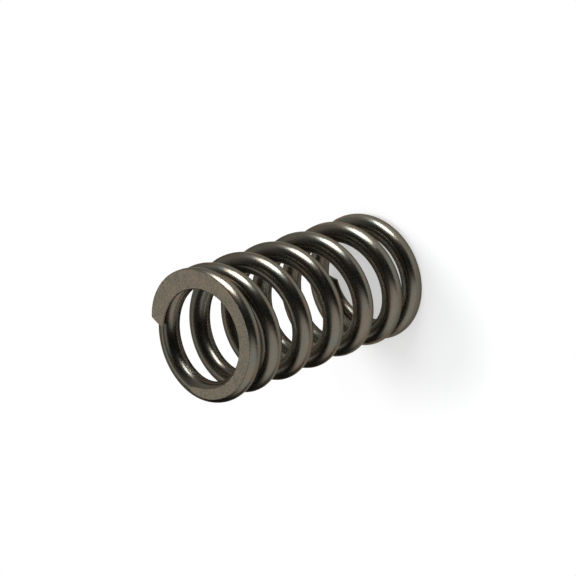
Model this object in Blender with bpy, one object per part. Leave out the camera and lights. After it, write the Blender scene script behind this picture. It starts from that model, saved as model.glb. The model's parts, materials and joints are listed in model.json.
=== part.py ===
"""Engine valve spring: one round wire, coiled right-handed, with closed and ground ends.

Metres, +Z up. The spring stands on its lower ground face, with the origin at that face's
centre and its axis along +Z. The lower tip lies at LOWER_TIP_ANGLE from +X.
"""

import math

import bmesh
import bpy
from mathutils import Vector

# Driving sizes, in metres
WIRE_DIAMETER = 0.0040
OUTER_DIAMETER = 0.0260
FREE_LENGTH = 0.0504

# Coils, in turns of the wire counted from tip to tip
TOTAL_TURNS = 6.96

# Lower end, in turns from its tip: where its closed coil starts to open, and how soon it is open
OPENING_START = 0.85
OPENING_TURNS = 0.35

# Upper end, in turns from its tip: where it starts to close, to level off for grinding and to
# lift over the next coil, how soon each is done, and where it comes nearest to that coil
CLOSING_START = 1.30
CLOSING_TURNS = 0.25
LEVELLING_START = 0.80
LEVELLING_TURNS = 0.10
LIFTING_START = 0.42
LIFTING_TURNS = 0.28
NEAREST_TURNS = 0.22
LEVEL_PITCH = 0.0008

# End coils: the gap that each keeps to the next coil, and what grinding leaves of the tips
LOWER_COIL_GAP = 0.00005
UPPER_COIL_GAP = 0.00010
LOWER_TIP_THICKNESS = 0.0013
UPPER_TIP_THICKNESS = 0.0009

# Where the lower tip lies round the axis, and how far each crop leans from square across the wire
LOWER_TIP_ANGLE = math.radians(75.6)
CROP_ANGLE = math.radians(28.0)

# Facets
STEPS_PER_TURN = 40
WIRE_SIDES = 16

# Finish
STEEL_COLOUR = (0.118, 0.106, 0.090, 1.0)
STEEL_ROUGHNESS = 0.34
STEEL_METALLIC = 1.0

WIRE_RADIUS = WIRE_DIAMETER / 2.0
COIL_RADIUS = (OUTER_DIAMETER - WIRE_DIAMETER) / 2.0
TURN_LENGTH = 2.0 * math.pi * COIL_RADIUS


def eased_turns(turns, start, easing):
    """Turns past the start, eased in over the first few."""
    share = min(max((turns - start) / easing, 0.0), 1.0)
    return easing * (share**3 - share**4 / 2.0) + max(turns - start - easing, 0.0)


def turns_below(turns):
    """How much of the wire up to here is wound at the closed, open, closing and level pitch."""
    opened = eased_turns(turns, OPENING_START, OPENING_TURNS)
    closing = eased_turns(turns, TOTAL_TURNS - CLOSING_START, CLOSING_TURNS)
    levelled = eased_turns(turns, TOTAL_TURNS - LEVELLING_START, LEVELLING_TURNS)
    lifted = eased_turns(turns, TOTAL_TURNS - LIFTING_START, LIFTING_TURNS)
    return turns - opened, opened - closing + lifted, closing - levelled, levelled - lifted


def closed_pitch():
    """Rise in one turn that leaves the lower gap, square across the wire, between two coils."""
    width = WIRE_DIAMETER + LOWER_COIL_GAP
    return width / math.sqrt(1.0 - (width / TURN_LENGTH) ** 2)


def free_pitches():
    """The open and the closing pitch.

    Together they bring the ground spring to its free length, and the upper end coil to its gap
    from the next where it comes nearest.
    """
    whole = turns_below(TOTAL_TURNS)
    nearest = TOTAL_TURNS - NEAREST_TURNS
    coil = [high - low for high, low in zip(turns_below(nearest), turns_below(nearest - 1.0))]
    rise = FREE_LENGTH - LOWER_TIP_THICKNESS - UPPER_TIP_THICKNESS + WIRE_DIAMETER
    rise -= closed_pitch() * whole[0] + LEVEL_PITCH * whole[3]
    coil_rise = WIRE_DIAMETER + UPPER_COIL_GAP - closed_pitch() * coil[0] - LEVEL_PITCH * coil[3]
    scale = whole[1] * coil[2] - whole[2] * coil[1]
    open_pitch = (rise * coil[2] - coil_rise * whole[2]) / scale
    closing_pitch = (coil_rise * whole[1] - rise * coil[1]) / scale
    return open_pitch, closing_pitch


PITCHES = (closed_pitch(), *free_pitches(), LEVEL_PITCH)


def wire_height(turns):
    """Height of the wire's centre, this many turns from the lower tip."""
    start = LOWER_TIP_THICKNESS - WIRE_RADIUS
    return start + sum(pitch * wound for pitch, wound in zip(PITCHES, turns_below(turns)))


def wire_slope(turns):
    """Angle at which the wire climbs."""
    step = 0.5 / STEPS_PER_TURN
    climb = (wire_height(turns + step) - wire_height(turns - step)) / (2.0 * step)
    return math.atan2(climb, TURN_LENGTH)


def crop_shift(turns, out):
    """Turns by which the leaned crop moves a point, fading out one wire diameter from the tip."""
    from_tip = min(turns, TOTAL_TURNS - turns) * TURN_LENGTH
    fade = max(1.0 - from_tip / WIRE_DIAMETER, 0.0)
    return -out * math.tan(CROP_ANGLE) * fade / TURN_LENGTH


def surface_point(turns, section_angle):
    """Point on the wire, at this angle round its section from the side away from the axis."""
    out = WIRE_RADIUS * math.cos(section_angle)
    up = WIRE_RADIUS * math.sin(section_angle)
    place = turns + crop_shift(turns, out)
    angle = LOWER_TIP_ANGLE + 2.0 * math.pi * place
    outward = Vector((math.cos(angle), math.sin(angle), 0.0))
    around = Vector((-math.sin(angle), math.cos(angle), 0.0))
    axial = Vector((0.0, 0.0, 1.0))
    slope = wire_slope(place)
    upward = axial * math.cos(slope) - around * math.sin(slope)
    return outward * (COIL_RADIUS + out) + upward * up + axial * wire_height(place)


def sweep_wire(bm):
    """The round wire along its whole coil, closed at both cropped tips."""
    steps = round(TOTAL_TURNS * STEPS_PER_TURN)
    rings = []
    for step in range(steps + 1):
        turns = TOTAL_TURNS * step / steps
        sides = [2.0 * math.pi * side / WIRE_SIDES for side in range(WIRE_SIDES)]
        rings.append([bm.verts.new(surface_point(turns, side)) for side in sides])
    for low, high in zip(rings, rings[1:]):
        for side in range(WIRE_SIDES):
            after = (side + 1) % WIRE_SIDES
            bm.faces.new((low[side], low[after], high[after], high[side]))
    bm.faces.new(rings[0])
    bm.faces.new(rings[-1])
    bmesh.ops.recalc_face_normals(bm, faces=bm.faces)


def grind_flat(bm, height, outward):
    """Takes off what stands past a level plane, and closes the flat that this leaves."""
    wire = bm.verts[:] + bm.edges[:] + bm.faces[:]
    level = {"plane_co": (0.0, 0.0, height), "plane_no": (0.0, 0.0, outward)}
    cut = bmesh.ops.bisect_plane(bm, geom=wire, clear_outer=True, **level)
    rim = [item for item in cut["geom_cut"] if isinstance(item, bmesh.types.BMEdge)]
    bmesh.ops.contextual_create(bm, geom=rim)


def spring_mesh():
    bm = bmesh.new()
    sweep_wire(bm)
    grind_flat(bm, 0.0, -1.0)
    grind_flat(bm, FREE_LENGTH, 1.0)
    bmesh.ops.recalc_face_normals(bm, faces=bm.faces)
    mesh = bpy.data.meshes.new("valve_spring")
    bm.to_mesh(mesh)
    bm.free()
    mesh.shade_smooth()
    mesh.set_sharp_from_angle(angle=math.radians(35.0))
    return mesh


def spring_steel():
    steel = bpy.data.materials.new("spring_steel")
    steel.use_nodes = True
    shader = steel.node_tree.nodes["Principled BSDF"]
    shader.inputs["Base Color"].default_value = STEEL_COLOUR
    shader.inputs["Roughness"].default_value = STEEL_ROUGHNESS
    shader.inputs["Metallic"].default_value = STEEL_METALLIC
    return steel


def main():
    for old in list(bpy.data.objects):
        bpy.data.objects.remove(old, do_unlink=True)
    mesh = spring_mesh()
    mesh.materials.append(spring_steel())
    spring = bpy.data.objects.new("valve_spring", mesh)
    bpy.context.scene.collection.objects.link(spring)


main()
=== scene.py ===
"""Looks of an engine valve spring: its coiled wire, its steel, and a plain studio round it.

The script is laid out as an add-on. One operator coils the wire and one sets the stage, and
the panel in the 3D view's sidebar lists both. Everything is in metres, and the spring stands
on its lower ground face with its axis along +Z.
"""

import json
import math

import bpy
from mathutils import Matrix, Vector

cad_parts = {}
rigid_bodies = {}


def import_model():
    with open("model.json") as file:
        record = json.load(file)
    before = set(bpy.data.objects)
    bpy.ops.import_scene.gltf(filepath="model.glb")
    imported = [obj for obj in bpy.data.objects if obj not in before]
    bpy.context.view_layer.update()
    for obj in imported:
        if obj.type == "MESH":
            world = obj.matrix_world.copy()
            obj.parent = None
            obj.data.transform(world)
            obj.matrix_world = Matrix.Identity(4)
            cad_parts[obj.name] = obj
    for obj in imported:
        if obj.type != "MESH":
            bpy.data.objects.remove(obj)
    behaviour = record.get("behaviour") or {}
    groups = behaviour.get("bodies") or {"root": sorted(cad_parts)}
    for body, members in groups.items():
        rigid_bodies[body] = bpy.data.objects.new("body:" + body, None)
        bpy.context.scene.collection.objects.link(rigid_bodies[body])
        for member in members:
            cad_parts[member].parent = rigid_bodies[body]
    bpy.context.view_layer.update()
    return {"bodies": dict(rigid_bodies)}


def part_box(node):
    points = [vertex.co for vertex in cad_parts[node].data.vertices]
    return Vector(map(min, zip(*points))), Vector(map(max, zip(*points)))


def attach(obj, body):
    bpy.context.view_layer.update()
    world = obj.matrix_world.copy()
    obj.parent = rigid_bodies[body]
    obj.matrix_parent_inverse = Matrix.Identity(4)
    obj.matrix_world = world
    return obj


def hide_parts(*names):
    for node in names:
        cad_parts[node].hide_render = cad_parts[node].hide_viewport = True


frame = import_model()

NODE = "valve_spring"
LOW_CORNER, HIGH_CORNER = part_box(NODE)
BODY = next(iter(frame["bodies"]))
# The solid's facets fall just short of its diameter, which is a whole number of tenths of a mm
OUTER_DIAMETER = round(HIGH_CORNER.x - LOW_CORNER.x, 4)
FREE_LENGTH = HIGH_CORNER.z

bl_info = {
    "name": "Engine Valve Spring",
    "version": (1, 0, 0),
    "blender": (4, 5, 0),
    "location": "3D View > Sidebar > Valve Spring",
    "description": "Coils a valve spring from round wire and sets a plain studio round it",
    "category": "Add Mesh",
}

# Facets of the wire: rings along it, then the steps in one half of a ring and on an end face
RINGS_PER_TURN = 144
ARC_STEPS = 22
EDGE_STEPS = 4
FLAT_STEPS = 3
FACE_STEPS = 2
HALF_STEPS = ARC_STEPS + 2 * EDGE_STEPS + 2 * FLAT_STEPS
POINTS_AROUND = 2 * HALF_STEPS + 1
END_STEPS = FACE_STEPS + EDGE_STEPS
QUARTER = math.pi / 2
MERGE_DISTANCE = 2e-6

# The pitches along the wire, and the changes from one to the next
PITCH_NAMES = ("Closed", "Open", "Closing", "Level")
CHANGE_NAMES = ("Opening", "Closing", "Levelling", "Lifting")

# How near a ground plane the surface is all ground, and where the ground finish ends
GROUND_NEAR = 0.00001
GROUND_FAR = 0.00004

# Grain of the steel: speckles all over, warm blotches on the wire, brown stains on the ground
# ends, and drawing marks, sized out from, up and along the wire
SPECKLE_SIZE = 0.0004
BLOTCH_SIZE = 0.003
STAIN_SIZE = 0.0022
DRAWN_MARK = (0.00018, 0.00018, 0.003)
GRAIN_DETAIL = 3.0
DRAWN_DETAIL = 2.0
GRAIN_DEPTH = 0.000012
ROUGHNESS_SWING = 0.09

# From which value of its noise to which a blotch or a stain fades in
BLOTCH_EDGES = (0.35, 0.65)
STAIN_EDGES = (0.4, 0.7)

# How much more the speckles show in the ground ends than the stains do, and the middle of both
GROUND_SPECKLE = 1.6
GROUND_MIDDLE = (GROUND_SPECKLE + 1) / 2

# The camera: where it stands, the way it looks, how far it is turned about its own axis, its
# lens and sensor in mm, and the nearest and farthest that it sees
CAMERA_PLACE = Vector((0.0, -0.320823, 0.357149))
CAMERA_AZIMUTH = math.radians(0.559)
CAMERA_DEPRESSION = math.radians(46.08)
CAMERA_ROLL = math.radians(109.42)
CAMERA_LENS = 150.186
CAMERA_SENSOR = 36.0
CAMERA_REACH = (0.01, 10.0)

# The studio: bearings in degrees from +X towards +Y and above the horizon. The walls, panel and
# ceiling also have the half width of their bright middle and the width of their soft edge, and
# the floor's edge is the two elevations between which it fades.
SOFTBOX_BEARING = (-29.2, 0.7)
SKYLIGHT_BEARING = (30.0, 68.0)
LAMP_DISTANCE = 0.8
SIDE_WALL = (-165.0, 11.0, 33.0, 19.0)
BACK_WALL = (51.4, -7.0, 34.5, 45.0)
TOP_PANEL = (92.0, 43.4, 0.0, 20.5)
CEILING = (90.0, 86.0, 6.0, 14.0)
FLOOR_EDGE = (-36.5, -32.5)
TABLE_SIDES = 96
TABLE_DROP = 0.00002
WHITE = (1.0, 1.0, 1.0)


class Socket:
    """An output of a node. Arithmetic on it adds Math nodes; socket["Name"] is a sister output."""

    def __init__(self, tree, output):
        self.tree = tree
        self.output = output

    def __getitem__(self, name):
        return Socket(self.tree, self.output.node.outputs[name])

    def __add__(self, other):
        return self.tree.math("ADD", self, other)

    def __radd__(self, other):
        return self.tree.math("ADD", other, self)

    def __sub__(self, other):
        return self.tree.math("SUBTRACT", self, other)

    def __rsub__(self, other):
        return self.tree.math("SUBTRACT", other, self)

    def __mul__(self, other):
        return self.tree.math("MULTIPLY", self, other)

    def __rmul__(self, other):
        return self.tree.math("MULTIPLY", other, self)

    def __truediv__(self, other):
        return self.tree.math("DIVIDE", self, other)

    def __rtruediv__(self, other):
        return self.tree.math("DIVIDE", other, self)

    def __pow__(self, other):
        return self.tree.math("POWER", self, other)

    def __abs__(self):
        return self.tree.math("ABSOLUTE", self)

    def sin(self):
        return self.tree.math("SINE", self)

    def cos(self):
        return self.tree.math("COSINE", self)

    def floor(self):
        return self.tree.math("FLOOR", self)

    def least(self, other):
        return self.tree.math("MINIMUM", self, other)

    def most(self, other):
        return self.tree.math("MAXIMUM", self, other)

    def above(self, other):
        return self.tree.math("GREATER_THAN", self, other)

    def share(self, start, end, kind="LINEAR"):
        """0 before start, 1 past end, and between them how far along it is."""
        values = {"Value": self, "From Min": start, "From Max": end}
        return self.tree.node("ShaderNodeMapRange", {"interpolation_type": kind}, values)


class Tree:
    """A node tree in the making."""

    def __init__(self, node_tree):
        self.node_tree = node_tree
        self.node_tree.nodes.clear()

    def node(self, kind, settings=None, values=None):
        """Adds a node, sets it, then fills its sockets; gives back its first output, if any."""
        made = self.node_tree.nodes.new(kind)
        for name, setting in (settings or {}).items():
            setattr(made, name, setting)
        for name, value in (values or {}).items():
            if isinstance(value, Socket):
                self.node_tree.links.new(value.output, made.inputs[name])
            else:
                made.inputs[name].default_value = value
        return Socket(self, made.outputs[0]) if made.outputs else None

    def math(self, operation, *values):
        return self.node("ShaderNodeMath", {"operation": operation}, dict(enumerate(values)))

    def vector(self, x, y, z):
        return self.node("ShaderNodeCombineXYZ", values={"X": x, "Y": y, "Z": z})

    def blend(self, share, first, second):
        """A colour part of the way from the first to the second."""
        values = {"Factor": share, "A": first, "B": second}
        return self.node("ShaderNodeMix", {"data_type": "RGBA"}, values)["Result"]

    def tinted(self, colour, level):
        """A colour made lighter or darker by this level."""
        values = {0: colour, "Scale": level}
        return self.node("ShaderNodeVectorMath", {"operation": "SCALE"}, values)


def opaque(colour):
    return (*colour, 1.0)


def turn_length(sizes):
    return math.pi * (OUTER_DIAMETER - sizes.wire_diameter)


def closed_pitch(sizes):
    """Rise in one turn that leaves the lower gap, square across the wire, between two coils."""
    width = sizes.wire_diameter + sizes.lower_gap
    return width / math.sqrt(1 - (width / turn_length(sizes)) ** 2)


def eased_turns(turns, start, easing):
    """Turns past the start, eased in over the first few."""
    share = min(max((turns - start) / easing, 0), 1)
    return easing * (share**3 - share**4 / 2) + max(turns - start - easing, 0)


def by_pitch(turns, opened, closing, levelled, lifted):
    """How much is wound at the closed, open, closing and level pitch, by the turns past each."""
    return turns - opened, opened - closing + lifted, closing - levelled, levelled - lifted


def pitch_changes(sizes):
    """Turns from the lower tip at which each change of pitch starts, and turns that it takes."""
    last = sizes.turns
    return {
        "Opening": (sizes.opening_start, sizes.opening_turns),
        "Closing": (last - sizes.closing_start, sizes.closing_turns),
        "Levelling": (last - sizes.levelling_start, sizes.levelling_turns),
        "Lifting": (last - sizes.lifting_start, sizes.lifting_turns),
    }


def free_pitches(sizes):
    """The open and closing pitch that give the free length and the upper end coil's gap."""
    changes = pitch_changes(sizes).values()

    def below(turns):
        return by_pitch(turns, *[eased_turns(turns, *change) for change in changes])

    whole = below(sizes.turns)
    nearest = sizes.turns - sizes.nearest_turns
    coil = [high - low for high, low in zip(below(nearest), below(nearest - 1))]
    closed, level = closed_pitch(sizes), sizes.level_pitch
    rise = FREE_LENGTH - sizes.lower_tip - sizes.upper_tip + sizes.wire_diameter
    rise -= closed * whole[0] + level * whole[3]
    coil_rise = sizes.wire_diameter + sizes.upper_gap - closed * coil[0] - level * coil[3]
    scale = whole[1] * coil[2] - whole[2] * coil[1]
    open_pitch = (rise * coil[2] - coil_rise * whole[2]) / scale
    return open_pitch, (coil_rise * whole[1] - rise * coil[1]) / scale


def wire_values(sizes):
    """What the wire's node tree is given, by the names of its inputs."""
    pitches = (closed_pitch(sizes), *free_pitches(sizes), sizes.level_pitch)
    values = {f"{name} Pitch": pitch for name, pitch in zip(PITCH_NAMES, pitches)}
    for name, (start, easing) in pitch_changes(sizes).items():
        values.update({f"{name} Start": start, f"{name} Turns": easing})
    sizing = {
        "Wire Radius": sizes.wire_diameter / 2,
        "Coil Radius": turn_length(sizes) / (2 * math.pi),
        "Free Length": FREE_LENGTH,
        "Turns": sizes.turns,
        "Rings": round(sizes.turns * RINGS_PER_TURN) + 2 * END_STEPS,
        "Lower Tip Thickness": sizes.lower_tip,
        "Lower Tip Angle": sizes.tip_angle,
        "Crop Angle": sizes.crop_angle,
        "Edge Radius": sizes.edge_radius,
    }
    return {**values, **sizing}


def past_change(turns, start, easing):
    """As eased_turns, on sockets."""
    share = turns.share(start, start + easing)
    return easing * (share**3 - share**4 / 2) + (turns - start - easing).most(0)


def change_share(turns, start, easing):
    """How far a change of pitch has come."""
    share = turns.share(start, start + easing)
    return share**2 * (3 - 2 * share)


def wire_run(size, ring):
    """Turns from the lower tip to this ring, and how far its edges and its face are closed."""
    last = size["Rings"] - 1
    from_end = last - ring
    lower_edge = ring.share(FACE_STEPS, END_STEPS) * QUARTER
    upper_edge = from_end.share(FACE_STEPS, END_STEPS) * QUARTER
    edge_turns = size["Edge Radius"] / (2 * math.pi * size["Coil Radius"])
    along = ring.share(END_STEPS, last - END_STEPS)
    lower = edge_turns * (1 - lower_edge.cos()) * (1 - along)
    upper = (size["Turns"] - edge_turns * (1 - upper_edge.cos())) * along
    face = ring.share(0, FACE_STEPS) * from_end.share(0, FACE_STEPS)
    return lower + upper, lower_edge.least(upper_edge), face


def wire_section(size, step, lower_depth, upper_depth, edge, face):
    """Out and up from the wire's centre: a circle cut by both ground planes, with eased corners.

    The corners come from a smaller cut circle, the core, that is grown by the edge radius.
    """
    core = size["Wire Radius"] - size["Edge Radius"]
    grown = size["Edge Radius"] * edge.sin()
    low = ((lower_depth - size["Edge Radius"]) / core).least(1).most(-1)
    high = ((upper_depth - size["Edge Radius"]) / core).least(1).most(-1)
    low_angle = low.tree.math("ARCSINE", low)
    high_angle = high.tree.math("ARCSINE", high)
    low_edge = step.share(FLAT_STEPS, FLAT_STEPS + EDGE_STEPS)
    arc = step.share(FLAT_STEPS + EDGE_STEPS, HALF_STEPS - FLAT_STEPS - EDGE_STEPS)
    high_edge = step.share(HALF_STEPS - FLAT_STEPS - EDGE_STEPS, HALF_STEPS - FLAT_STEPS)
    facing = low_edge * (QUARTER - low_angle) - QUARTER
    facing = facing + arc * (low_angle + high_angle) + high_edge * (QUARTER - high_angle)
    core_angle = facing.most(0 - low_angle).least(high_angle)
    low_flat = 1 - (1 - step.share(0, FLAT_STEPS)) ** 2
    high_flat = 1 - step.share(HALF_STEPS - FLAT_STEPS, HALF_STEPS) ** 2
    out = (core * core_angle.cos() + grown * facing.cos()) * low_flat * high_flat * face
    middle = core * (high - low) / 2
    up = middle + (core * core_angle.sin() + grown * facing.sin() - middle) * face
    return out, up


def coiled_wire(size, index):
    """Place on the coil of each point of a grid, and the same place along the straight wire."""
    ring = ((index + 0.5) / POINTS_AROUND).floor()
    spot = index - ring * POINTS_AROUND
    step = HALF_STEPS - abs(spot - HALF_STEPS)
    side = 1 - 2 * spot.above(HALF_STEPS)
    turns, edge, face = wire_run(size, ring)

    changes = [(size[f"{name} Start"], size[f"{name} Turns"]) for name in CHANGE_NAMES]
    wound = by_pitch(turns, *[past_change(turns, *change) for change in changes])
    rates = by_pitch(1, *[change_share(turns, *change) for change in changes])
    height = size["Lower Tip Thickness"] - size["Wire Radius"]
    climb = 0
    for name, amount, rate in zip(PITCH_NAMES, wound, rates):
        height = height + size[f"{name} Pitch"] * amount
        climb = climb + size[f"{name} Pitch"] * rate
    round_turn = 2 * math.pi * size["Coil Radius"]
    slope = size.tree.math("ARCTAN2", climb, round_turn)

    lower_depth = height / slope.cos()
    upper_depth = (size["Free Length"] - height) / slope.cos()
    out, up = wire_section(size, step, lower_depth, upper_depth, edge, face)
    out = out * side

    from_tip = turns.least(size["Turns"] - turns) * round_turn
    fade = (1 - from_tip / (2 * size["Wire Radius"])).most(0)
    lean = size["Crop Angle"].tree.math("TANGENT", size["Crop Angle"])
    place = turns - out * lean * fade / round_turn
    angle = size["Lower Tip Angle"] + 2 * math.pi * place
    radius = size["Coil Radius"] + out
    back = up * slope.sin()
    x = radius * angle.cos() + back * angle.sin()
    y = radius * angle.sin() - back * angle.cos()
    z = height + up * slope.cos()
    tree = index.tree
    return tree.vector(x, y, z), tree.vector(out, up, place * round_turn), 1 - edge / QUARTER


def wire_group(values):
    """The node group that coils the wire. Its sizes are inputs with the names in values."""
    group = bpy.data.node_groups.new("coiled_wire", "GeometryNodeTree")
    group.interface.new_socket("Wire", in_out="OUTPUT", socket_type="NodeSocketGeometry")
    for name in values:
        kind = "NodeSocketInt" if name == "Rings" else "NodeSocketFloat"
        group.interface.new_socket(name, in_out="INPUT", socket_type=kind)
    group.interface.new_socket("Steel", in_out="INPUT", socket_type="NodeSocketMaterial")
    tree = Tree(group)
    size = tree.node("NodeGroupInput")
    index = tree.node("GeometryNodeInputIndex")
    place, straight, cropped = coiled_wire(size, index)
    counts = {"Vertices X": size["Rings"], "Vertices Y": POINTS_AROUND}
    wire = tree.node("GeometryNodeMeshGrid", values=counts)
    attributes = (("straight", "FLOAT_VECTOR", straight), ("cropped", "FLOAT", cropped))
    for name, kind, value in attributes:
        stored = {"Geometry": wire, "Name": name, "Value": value}
        wire = tree.node("GeometryNodeStoreNamedAttribute", {"data_type": kind}, stored)
    wire = tree.node("GeometryNodeSetPosition", values={"Geometry": wire, "Position": place})
    merged = {"Geometry": wire, "Distance": MERGE_DISTANCE}
    wire = tree.node("GeometryNodeMergeByDistance", values=merged)
    wire = tree.node("GeometryNodeSetShadeSmooth", values={"Geometry": wire})
    wire = tree.node("GeometryNodeRealizeInstances", values={"Geometry": wire})
    dressed = {"Geometry": wire, "Material": size["Steel"]}
    wire = tree.node("GeometryNodeSetMaterial", values=dressed)
    tree.node("NodeGroupOutput", values={"Wire": wire})
    return group


def coil_wire(sizes, steel):
    """Runs the wire's node group, and keeps its result as a plain mesh."""
    values = wire_values(sizes)
    group = wire_group(values)
    holder = bpy.data.objects.new("wire_in_the_making", bpy.data.meshes.new("empty"))
    bpy.context.scene.collection.objects.link(holder)
    coiling = holder.modifiers.new("coiling", "NODES")
    coiling.node_group = group
    values["Steel"] = steel
    for item in group.interface.items_tree:
        if item.in_out == "INPUT":
            coiling[item.identifier] = values[item.name]
    made = holder.evaluated_get(bpy.context.evaluated_depsgraph_get())
    mesh = bpy.data.meshes.new_from_object(made)
    mesh.name = "spring_wire"
    mesh.materials.clear()
    mesh.materials.append(steel)
    mesh.polygons.foreach_set("material_index", [0] * len(mesh.polygons))
    bpy.data.objects.remove(holder, do_unlink=True)
    spring = bpy.data.objects.new("spring_wire", mesh)
    bpy.context.scene.collection.objects.link(spring)
    return spring


def grain(tree, place, size, detail=GRAIN_DETAIL):
    """Noise from 0 to 1 with its middle at a half, in grains of about this size."""
    values = {"Vector": place, "Scale": 1 / size, "Detail": detail}
    return tree.node("ShaderNodeTexNoise", values=values)


def stretched(tree, place, sizes):
    """The place, measured in steps of these sizes."""
    values = {0: place, 1: sizes}
    return tree.node("ShaderNodeVectorMath", {"operation": "DIVIDE"}, values)


def ground_share(tree, place):
    """1 on the two ground faces and 0 on the rest of the wire."""
    height = tree.node("ShaderNodeSeparateXYZ", values={"Vector": place})["Z"]
    upper = height.share(FREE_LENGTH - GROUND_FAR, FREE_LENGTH - GROUND_NEAR)
    lower = 1 - height.share(GROUND_NEAR, GROUND_FAR)
    return upper + lower


def spring_steel(finish):
    """Dark oil-tempered wire with fine drawing marks, ground dull at both ends."""
    material = bpy.data.materials.new("oil_tempered_wire")
    material.use_nodes = True
    tree = Tree(material.node_tree)
    place = tree.node("ShaderNodeTexCoord")["Object"]
    straight = tree.node("ShaderNodeAttribute", {"attribute_name": "straight"})["Vector"]
    ground = ground_share(tree, place)
    cropped = tree.node("ShaderNodeAttribute", {"attribute_name": "cropped"})["Fac"]

    speckle = grain(tree, place, SPECKLE_SIZE)
    stain = grain(tree, place, STAIN_SIZE)
    blotch = grain(tree, place, BLOTCH_SIZE)
    drawn = grain(tree, stretched(tree, straight, DRAWN_MARK), 1.0, DRAWN_DETAIL)
    # The middle of each grain is a half, and taking the middle off their sum keeps the tone
    wire_grain =1 + finish.wire_mottle * (speckle + drawn - 1) - finish.crop_shade * cropped
    ground_grain = 1 + finish.ground_mottle * (GROUND_SPECKLE * speckle + stain - GROUND_MIDDLE)

    blotched = blotch.share(*BLOTCH_EDGES)
    wire = tree.blend(blotched, opaque(finish.wire_colour), opaque(finish.wire_tint))
    wire_tone = tree.tinted(wire, wire_grain)
    stained = stain.share(*STAIN_EDGES)
    ends = tree.blend(stained, opaque(finish.ground_colour), opaque(finish.ground_tint))
    ground_tone = tree.tinted(ends, ground_grain)
    wire_rough = finish.wire_roughness + ROUGHNESS_SWING * (speckle + drawn - 1 + cropped)
    ground_rough = finish.ground_roughness + ROUGHNESS_SWING * (speckle + stain - 1)
    roughness = wire_rough + ground * (ground_rough - wire_rough)

    height = (speckle + drawn * (1 - ground)) * GRAIN_DEPTH
    bump = {"Height": height, "Strength": finish.grain_strength, "Distance": 1.0}
    shader = {
        "Base Color": tree.blend(ground, wire_tone, ground_tone),
        "Metallic": 1.0,
        "Specular Tint": opaque(finish.edge_tint),
        "Roughness": roughness,
        "Normal": tree.node("ShaderNodeBump", values=bump),
    }
    surface = tree.node("ShaderNodeBsdfPrincipled", values=shader)
    tree.node("ShaderNodeOutputMaterial", values={"Surface": surface})
    return material


def make_floor(studio):
    """A round table top just under the spring. It glows up to white, and keeps the shadow."""
    mesh = bpy.data.meshes.new("table_top")
    turns = [2 * math.pi * step / TABLE_SIDES for step in range(TABLE_SIDES)]
    radius = studio.table_radius
    rim = [(radius * math.cos(turn), radius * math.sin(turn), -TABLE_DROP) for turn in turns]
    mesh.from_pydata(rim, [], [range(TABLE_SIDES)])
    table = bpy.data.objects.new("table_top", mesh)
    bpy.context.scene.collection.objects.link(table)
    material = bpy.data.materials.new("white_table")
    material.use_nodes = True
    tree = Tree(material.node_tree)
    paint = tree.node("ShaderNodeBsdfDiffuse", values={"Color": opaque(studio.table_colour)})
    glowing = {"Color": opaque(WHITE), "Strength": seen_rays(tree) * studio.table_glow}
    glow = tree.node("ShaderNodeEmission", values=glowing)
    both = tree.node("ShaderNodeAddShader", values={0: paint, 1: glow})
    tree.node("ShaderNodeOutputMaterial", values={"Surface": both})
    mesh.materials.append(material)
    return table


def seen_rays(tree):
    """1 for rays that show a surface: straight, mirrored or through something clear."""
    path = tree.node("ShaderNodeLightPath")
    return path["Is Camera Ray"].most(path["Is Glossy Ray"]).most(path["Is Transmission Ray"])


def bearing(azimuth, elevation):
    """Unit vector this many degrees from +X towards +Y, and above the horizon."""
    turn, climb = math.radians(azimuth), math.radians(elevation)
    level = math.cos(climb)
    return Vector((level * math.cos(turn), level * math.sin(turn), math.sin(climb)))


def patch(tree, towards, azimuth, elevation, radius, fade):
    """1 within this many degrees of a bearing, easing to 0 over the next few."""
    values = {0: towards, 1: bearing(azimuth, elevation)}
    dot = tree.node("ShaderNodeVectorMath", {"operation": "DOT_PRODUCT"}, values)["Value"]
    angle = tree.math("ARCCOSINE", dot)
    return 1 - angle.share(math.radians(radius), math.radians(radius + fade), "SMOOTHSTEP")


def make_world(studio):
    """White to the camera and pale to rough surfaces.

    Metal mirrors a white floor, and above it a dark room with two walls, a panel and a ceiling.
    """
    world = bpy.data.worlds.new("studio")
    world.use_nodes = True
    tree = Tree(world.node_tree)
    towards = tree.node("ShaderNodeTexCoord")["Generated"]
    wall = patch(tree, towards, *SIDE_WALL) * studio.wall_level
    back = patch(tree, towards, *BACK_WALL) * studio.back_level
    panel = patch(tree, towards, *TOP_PANEL) * studio.panel_level
    ceiling = patch(tree, towards, *CEILING) * studio.ceiling_level
    walls = wall.most(back).most(panel).most(ceiling)
    height = tree.node("ShaderNodeSeparateXYZ", values={"Vector": towards})["Z"]
    below = 1 - height.share(*[math.sin(math.radians(edge)) for edge in FLOOR_EDGE])
    shown = walls + below * (studio.floor_level - walls)
    path = tree.node("ShaderNodeLightPath")
    level = studio.sky_level + (1 - studio.sky_level) * path["Is Camera Ray"]
    level = level + path["Is Glossy Ray"] * (shown - level)
    light = tree.node("ShaderNodeBackground", values={"Color": opaque(WHITE), "Strength": level})
    tree.node("ShaderNodeOutputWorld", values={"Surface": light})
    bpy.context.scene.world = world


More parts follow.
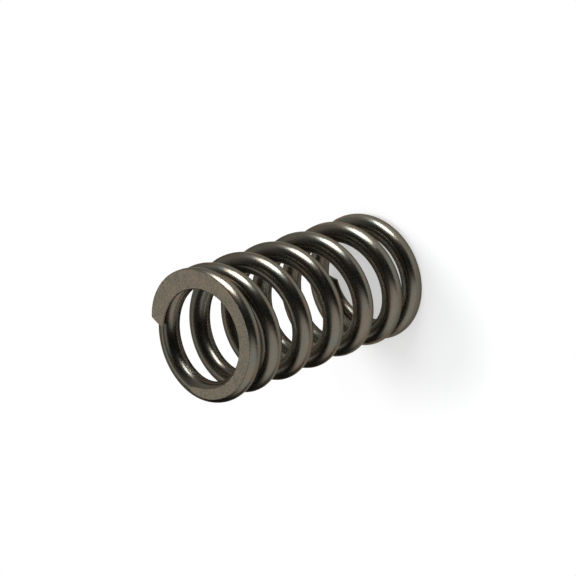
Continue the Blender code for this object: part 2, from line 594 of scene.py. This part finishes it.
def make_lamp(name, towards, angle, level, tone):
    """A round lamp that fills this many degrees about a bearing, and at level 1 shows as white."""
    lamp = bpy.data.lights.new(name, "AREA")
    lamp.shape = "DISK"
    radius = LAMP_DISTANCE * math.tan(math.radians(angle))
    lamp.size = 2 * radius
    lamp.energy = level * math.pi * (math.pi * radius**2)
    lamp.color = tone
    holder = bpy.data.objects.new(name, lamp)
    holder.location = Vector((0, 0, FREE_LENGTH / 2)) + towards * LAMP_DISTANCE
    holder.rotation_euler = towards.to_track_quat("Z", "Y").to_euler()
    holder.visible_camera = False
    bpy.context.scene.collection.objects.link(holder)
    return holder


def make_lamps(studio):
    """The low softbox that draws the bright streaks, and the skylight that casts the shadow."""
    softbox = bearing(*SOFTBOX_BEARING)
    make_lamp("softbox", softbox, studio.softbox_angle, studio.softbox_level, studio.softbox_colour)
    skylight = bearing(*SKYLIGHT_BEARING)
    lamp = make_lamp("skylight", skylight, studio.skylight_angle, studio.skylight_level, WHITE)
    lamp.visible_glossy = False


def make_camera():
    """The camera, at the photo's viewing angle."""
    camera =bpy.data.cameras.new("camera")
    camera.lens = CAMERA_LENS
    camera.sensor_width = CAMERA_SENSOR
    camera.clip_start, camera.clip_end = CAMERA_REACH
    holder = bpy.data.objects.new("camera", camera)
    turned = Matrix.Rotation(-CAMERA_AZIMUTH, 4, "Z")
    turned = turned @ Matrix.Rotation(QUARTER - CAMERA_DEPRESSION, 4, "X")
    turned = turned @ Matrix.Rotation(-CAMERA_ROLL, 4, "Z")
    holder.matrix_world = Matrix.Translation(CAMERA_PLACE) @ turned
    bpy.context.scene.collection.objects.link(holder)
    bpy.context.scene.camera = holder


def length(name, default, description):
    return bpy.props.FloatProperty(
        name=name, description=description, default=default, min=0.0, unit="LENGTH", precision=5
    )


def factor(name, default, description):
    return bpy.props.FloatProperty(name=name, description=description, default=default, min=0.0)


def fraction(name, default, description):
    return bpy.props.FloatProperty(
        name=name, description=description, default=default, min=0.0, max=1.0, subtype="FACTOR"
    )


def colour(name, default, description):
    return bpy.props.FloatVectorProperty(
        name=name, description=description, default=default, size=3, subtype="COLOR", min=0, max=1
    )


class SpringSizes(bpy.types.PropertyGroup):
    """Sizes of the spring that its solid's outer box doesn't give."""

    wire_diameter: length("Wire", 0.004, "Diameter of the wire")
    turns: factor("Turns", 6.96, "Turns of the wire from tip to tip")
    opening_start: factor("Opening start", 0.85, "Turns from the lower tip to its coil's opening")
    opening_turns: factor("Opening turns", 0.35, "Turns that the opening takes")
    closing_start: factor("Closing start", 1.3, "Turns from the upper tip to its coil's closing")
    closing_turns: factor("Closing turns", 0.25, "Turns that the closing takes")
    levelling_start: factor("Levelling start", 0.8, "Turns from the tip to the level part")
    levelling_turns: factor("Levelling turns", 0.1, "Turns that the levelling takes")
    lifting_start: factor("Lifting start", 0.42, "Turns from the tip to where it starts to lift")
    lifting_turns: factor("Lifting turns", 0.28, "Turns that the lifting takes")
    nearest_turns: factor("Nearest", 0.22, "Turns from the tip to where the end coil is nearest")
    level_pitch: length("Level pitch", 0.0008, "Rise in a turn of the level part")
    lower_gap: length("Lower gap", 0.00005, "Gap between the two lowest coils")
    upper_gap: length("Upper gap", 0.0001, "Gap between the two highest coils where nearest")
    lower_tip: length("Lower tip", 0.0013, "Thickness that grinding leaves at the lower tip")
    upper_tip: length("Upper tip", 0.0009, "Thickness that grinding leaves at the upper tip")
    edge_radius: length("Edge radius", 0.00015, "Radius of the eased corners at ground faces")
    tip_angle: bpy.props.FloatProperty(
        name="Lower tip angle",
        description="Where the lower tip lies, from +X towards +Y",
        default=math.radians(75.6),
        unit="ROTATION",
    )
    crop_angle: bpy.props.FloatProperty(
        name="Crop angle",
        description="How far the cropped tips lean from square across the wire",
        default=math.radians(28.0),
        unit="ROTATION",
    )


class SteelFinish(bpy.types.PropertyGroup):
    """Finish of the wire and of its ground ends."""

    wire_colour: colour("Wire", (0.132, 0.134, 0.110), "Colour of the wire")
    wire_tint: colour("Wire tint", (0.162, 0.130, 0.100), "Warmer colour of the wire's blotches")
    ground_colour: colour("Ground ends", (0.240, 0.218, 0.168), "Colour of the ground ends")
    ground_tint: colour("Ground tint", (0.256, 0.204, 0.149), "Browner colour of their stains")
    edge_tint: colour("Edges", (0.49, 0.45, 0.40), "How bright the steel stays where it turns away")
    wire_roughness: fraction("Wire roughness", 0.28, "Roughness of the wire")
    ground_roughness: fraction("Ground roughness", 0.45, "Roughness of the ground ends")
    wire_mottle: fraction("Wire mottle", 0.4, "How much the wire's tone varies in its grain")
    ground_mottle: fraction("Ground mottle", 1.0, "How much the ground ends' tone varies")
    crop_shade: fraction("Crop shade", 0.35, "How much darker the cropped tips are")
    grain_strength: fraction("Grain", 0.08, "How deep the grain looks")


class StudioLight(bpy.types.PropertyGroup):
    """Brightness and size of the lamps, the table, and the room that metal mirrors."""

    softbox_level: factor("Softbox", 17.5, "Brightness of the softbox, where 1 is white")
    softbox_angle: factor("Softbox size", 18.0, "Half the angle that the softbox fills, in degrees")
    softbox_colour: colour("Softbox colour", (0.9, 0.95, 1.0), "Colour of the softbox")
    skylight_level: factor("Skylight", 13.0, "Brightness of the skylight, where 1 is white")
    skylight_angle: factor("Skylight size", 9.0, "Half the angle that it fills, in degrees")
    sky_level: fraction("Sky", 0.75, "Light from all round")
    wall_level: factor("Side wall", 1.17, "Brightness of the white side wall in the metal")
    back_level: factor("Back wall", 0.55, "Brightness of the back wall in the metal")
    panel_level: factor("Top panel", 2.3, "Brightness of the panel over the back wall")
    ceiling_level: factor("Ceiling", 1.0, "Brightness of the ceiling light in the metal")
    floor_level: factor("Floor", 0.95, "Brightness of the floor past the table in the metal")
    table_radius: length("Table radius", 0.045, "Radius of the table top")
    table_colour: colour("Table", (0.6, 0.6, 0.6), "Colour of the table top")
    table_glow: fraction("Table glow", 0.42, "What brings the table top up to white")


class MakeSpring(bpy.types.Operator):
    """Coil the wire, dress it in steel and put it in the solid's place"""

    bl_idname = "valve_spring.make_spring"
    bl_label = "Make Spring"

    def execute(self, context):
        steel = spring_steel(context.scene.steel_finish)
        spring = coil_wire(context.scene.spring_sizes, steel)
        if not spring.data.polygons:
            raise RuntimeError("the wire has no faces")
        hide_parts(NODE)
        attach(spring, BODY)
        return {"FINISHED"}


class SetStage(bpy.types.Operator):
    """Set the floor, the lamps, the background and the camera"""

    bl_idname = "valve_spring.set_stage"
    bl_label = "Set Stage"

    def execute(self, context):
        make_floor(context.scene.studio_light)
        make_world(context.scene.studio_light)
        make_lamps(context.scene.studio_light)
        make_camera()
        context.scene.view_settings.view_transform = "Standard"
        return {"FINISHED"}


class SpringPanel(bpy.types.Panel):
    """Sizes, finish and the two operators"""

    bl_idname = "VALVE_SPRING_PT_panel"
    bl_label = "Valve Spring"
    bl_space_type = "VIEW_3D"
    bl_region_type = "UI"
    bl_category = "Valve Spring"

    def draw(self, context):
        scene = context.scene
        for group in (scene.spring_sizes, scene.steel_finish, scene.studio_light):
            box = self.layout.box()
            for name in group.bl_rna.properties.keys():
                if name not in ("rna_type", "name"):
                    box.prop(group, name)
        for operator in (MakeSpring, SetStage):
            self.layout.operator(operator.bl_idname)


CLASSES = (SpringSizes, SteelFinish, StudioLight, MakeSpring, SetStage, SpringPanel)


def register():
    for each in CLASSES:
        bpy.utils.register_class(each)
    bpy.types.Scene.spring_sizes = bpy.props.PointerProperty(type=SpringSizes)
    bpy.types.Scene.steel_finish = bpy.props.PointerProperty(type=SteelFinish)
    bpy.types.Scene.studio_light = bpy.props.PointerProperty(type=StudioLight)


def unregister():
    del bpy.types.Scene.studio_light
    del bpy.types.Scene.steel_finish
    del bpy.types.Scene.spring_sizes
    for each in reversed(CLASSES):
        bpy.utils.unregister_class(each)


def main():
    register()
    bpy.ops.valve_spring.make_spring()
    bpy.ops.valve_spring.set_stage()


if __name__ == "__main__":
    main()
